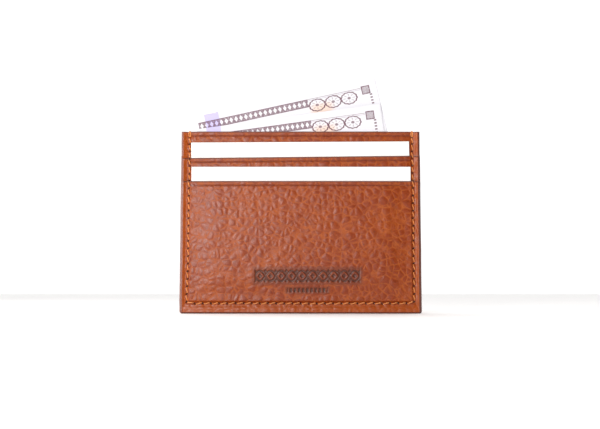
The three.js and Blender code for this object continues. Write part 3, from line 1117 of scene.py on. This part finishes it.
def build_card(name, node, body, tilt, board):
    """A board insert with square corners, softened edges and a faint wave."""
    low, high = box_mm("lower_card")
    width, thick, height = high - low
    centre = sum(box_mm(node)) / 2
    ends = (width / 2, height / 2)
    lines = [mirrored(grid_lines((0.0, 1.5), (end - 0.4, 0.2), (end, 0.1))) for end in ends]
    x, z = np.meshgrid(*lines, indexing="ij")
    edge = np.minimum(ends[0] - np.abs(x), ends[1] - np.abs(z))
    half = thick / 2 - CARD_ARRIS * (1 - smooth(edge, 0.0, 0.25))
    wave = CARD_WAVE * np.sin(x / 17 + 1) * np.sin(z / 13)
    outer, inner = (
        turned(np.stack([x, wave + way * half, z], axis=-1), tilt) + centre for way in (-1, 1)
    )
    piece = make_leaf(name, whole(*lines), outer, inner, FRONT, [board] * 2, CARD_RIM_BULGE, {})
    settle(piece, node, body)


# The note's bend, how far off the middle it was folded, and the finer band along its edges.
FOLD_GAP = PAPER / 2 + 0.025
UNEVEN_FOLD = 0.12
NOTE_EDGE = 0.18
NOTE_EDGE_STEP = 0.06
NOTE_LEAN_RISE = 24


def build_note(name, node, body, tilt, way, paper):
    """A note folded once, fold at the left, that leans to the side way above the wallet."""
    centre = sum(box_mm(node)) / 2
    fold = math.pi * FOLD_GAP
    fold_start = (NOTE_LENGTH - fold) / 2 - UNEVEN_FOLD
    fold_end = fold_start + fold

    def cut(length, *stops):
        ends = ((length - NOTE_EDGE, NOTE_EDGE_STEP), (length, NOTE_EDGE_STEP))
        return grid_lines((0.0, NOTE_EDGE_STEP), *stops, *ends)

    run = cut(NOTE_LENGTH, (NOTE_EDGE, 1.3), (fold_start, 0.04), (fold_end, 1.3))
    rows = cut(NOTE_HEIGHT, (NOTE_EDGE, 1.5))
    u, v = np.meshgrid(run, rows, indexing="ij")
    turn = np.clip((u - fold_start) / fold, 0, 1) * math.pi
    straight = np.where(u < fold_start, fold_start - u, np.maximum(u - fold_end, 0))
    x = straight - fold_start / 2 - FOLD_GAP * np.sin(turn)
    sheet = np.stack([x, -FOLD_GAP * np.cos(turn), NOTE_HEIGHT / 2 - v], axis=-1)
    sheet = turned(sheet, tilt) + centre
    clear = np.clip((sheet[..., 2] - HEIGHT) / NOTE_LEAN_RISE, 0, 1)
    sheet[..., 1] += way * clear**1.5 * (0.8 + 0.35 * np.sin(sheet[..., 0] / 9))
    along, down = np.gradient(sheet, axis=0), np.gradient(sheet, axis=1)
    normal = unit(np.cross(along, down))
    outer, inner = sheet + normal * PAPER / 2, sheet - normal * PAPER / 2
    shares = {"sheet_u": u / NOTE_LENGTH, "sheet_v": v / NOTE_HEIGHT}
    values = {key: (value, value.ravel(), None) for key, value in shares.items()}
    piece = make_leaf(name, whole(run, rows), outer, inner, FRONT, [paper] * 2, 0.0, values)
    piece.data.shade_smooth()
    settle(piece, node, body)
    return piece


def build_contents():
    board = card_board()
    build_card("lower_card_insert", "lower_card", "lower_card_body", 0.0, board)
    build_card("upper_card_insert", "upper_card", "upper_card_body", UPPER_CARD_TILT, board)
    paper = printed_paper()
    notes = (
        build_note("rear_folded_note", "rear_note", "rear_note_body", REAR_TILT, BACK, paper),
        build_note("front_folded_note", "front_note", "front_note_body", FRONT_TILT, FRONT, paper),
    )


# ---- studio

# Lights and the camera are placed in metres. Each soft box has a place, size, power and tint.
KEY_LIGHT = ((-0.205, -0.60, 0.12), 0.12, 2.45, (1.0, 0.985, 0.97))
SIDE_LIGHT = ((-0.42, 0.04, 0.12), 0.3, 1.6, (1.0, 0.97, 0.96))
TOP_LIGHT = 1.75
TOP_LIGHT_LEAN = (math.radians(3), math.radians(-8), 0.0)
TOP_LIGHT_ANGLE = math.radians(70)
WORLD_FRONT = 0.12
WORLD_BACK = 1.2
WORLD_DIM_FROM = 0.1
WORLD_WHITE_FROM = 0.75
FLOOR_HALF = 1600.0

CAMERA_DISTANCE = 0.350
CAMERA_HEIGHT = 0.0098
CAMERA_SIDE = -0.00025
CAMERA_PITCH = math.radians(5.04)
CAMERA_LENS = 51.1


def floor_material():
    """Smooth white sweep paper."""
    material, g, shader, place = new_material("white_sweep_paper")
    tooth = g.noise(place, 1.4, 4, 0.6)
    cloud = g.noise(place, 90.0, 2)
    tone = g.mix(cloud, colour(252, 250, 249), colour(248, 247, 246))
    set_surface(g, shader, tone, g.curve(tooth, 0.3, 0.7, 0.75, 0.85), g.times(tooth, 0.01))
    return material


def build_floor():
    low, high = -FLOOR_HALF, FLOOR_HALF
    corners = [(low, low, 0.0), (high, low, 0.0), (high, high, 0.0), (low, high, 0.0)]
    make_object("sweep_paper", corners, [(0, 1, 2, 3)], [floor_material()])


def add_lamp(name, kind, power):
    light = bpy.data.lights.new(name, kind)
    light.energy = power
    return add_object(name, light)


def soft_box(name, place, size, power, tint):
    """A square soft light aimed at the middle of the wallet."""
    lamp = add_lamp(name, "AREA", power)
    lamp.data.size = size
    lamp.data.color = tint
    lamp.location = place
    aim = Vector((0.0, 0.0, HEIGHT * MM / 2)) - lamp.location
    lamp.rotation_euler = aim.to_track_quat("-Z", "Y").to_euler()


def build_top_light():
    """Broad light from above, which whitens the floor and hardly reaches the wallet's face."""
    lamp = add_lamp("top_light", "SUN", TOP_LIGHT)
    lamp.data.angle = TOP_LIGHT_ANGLE
    lamp.rotation_euler = TOP_LIGHT_LEAN


def build_world():
    """A white surround behind the wallet, dimmer on the side its front faces."""
    world = bpy.data.worlds.new("white_surround")
    world.use_nodes = True
    bpy.context.scene.world = world
    g = Graph(world.node_tree)
    way = g.split(g.add("ShaderNodeTexCoord").outputs["Generated"])[1]
    sky = world.node_tree.nodes["Background"]
    strength = g.curve(way, WORLD_DIM_FROM, WORLD_WHITE_FROM, WORLD_FRONT, WORLD_BACK)
    g.feed(sky.inputs["Strength"], strength)
    sky.inputs["Color"].default_value = (1.0, 1.0, 1.0, 1.0)


def build_camera():
    data = bpy.data.cameras.new("photo_view")
    data.lens = CAMERA_LENS
    data.clip_start = 0.01
    camera = add_object("photo_view", data)
    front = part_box("front_pocket_panel")[0][1]
    camera.location = (CAMERA_SIDE, front - CAMERA_DISTANCE, CAMERA_HEIGHT)
    camera.rotation_euler = (math.pi / 2 + CAMERA_PITCH, 0.0, 0.0)
    bpy.context.scene.camera = camera


def build_studio():
    build_floor()
    build_world()
    build_camera()
    soft_box("key_light", *KEY_LIGHT)
    soft_box("side_light", *SIDE_LIGHT)
    build_top_light()
    bpy.context.scene.view_settings.view_transform = "Standard"


# ---- scene


def plain(bounds):
    return [[float(value) for value in corner] for corner in bounds]


build_leather()
build_thread()
build_contents()
build_studio()
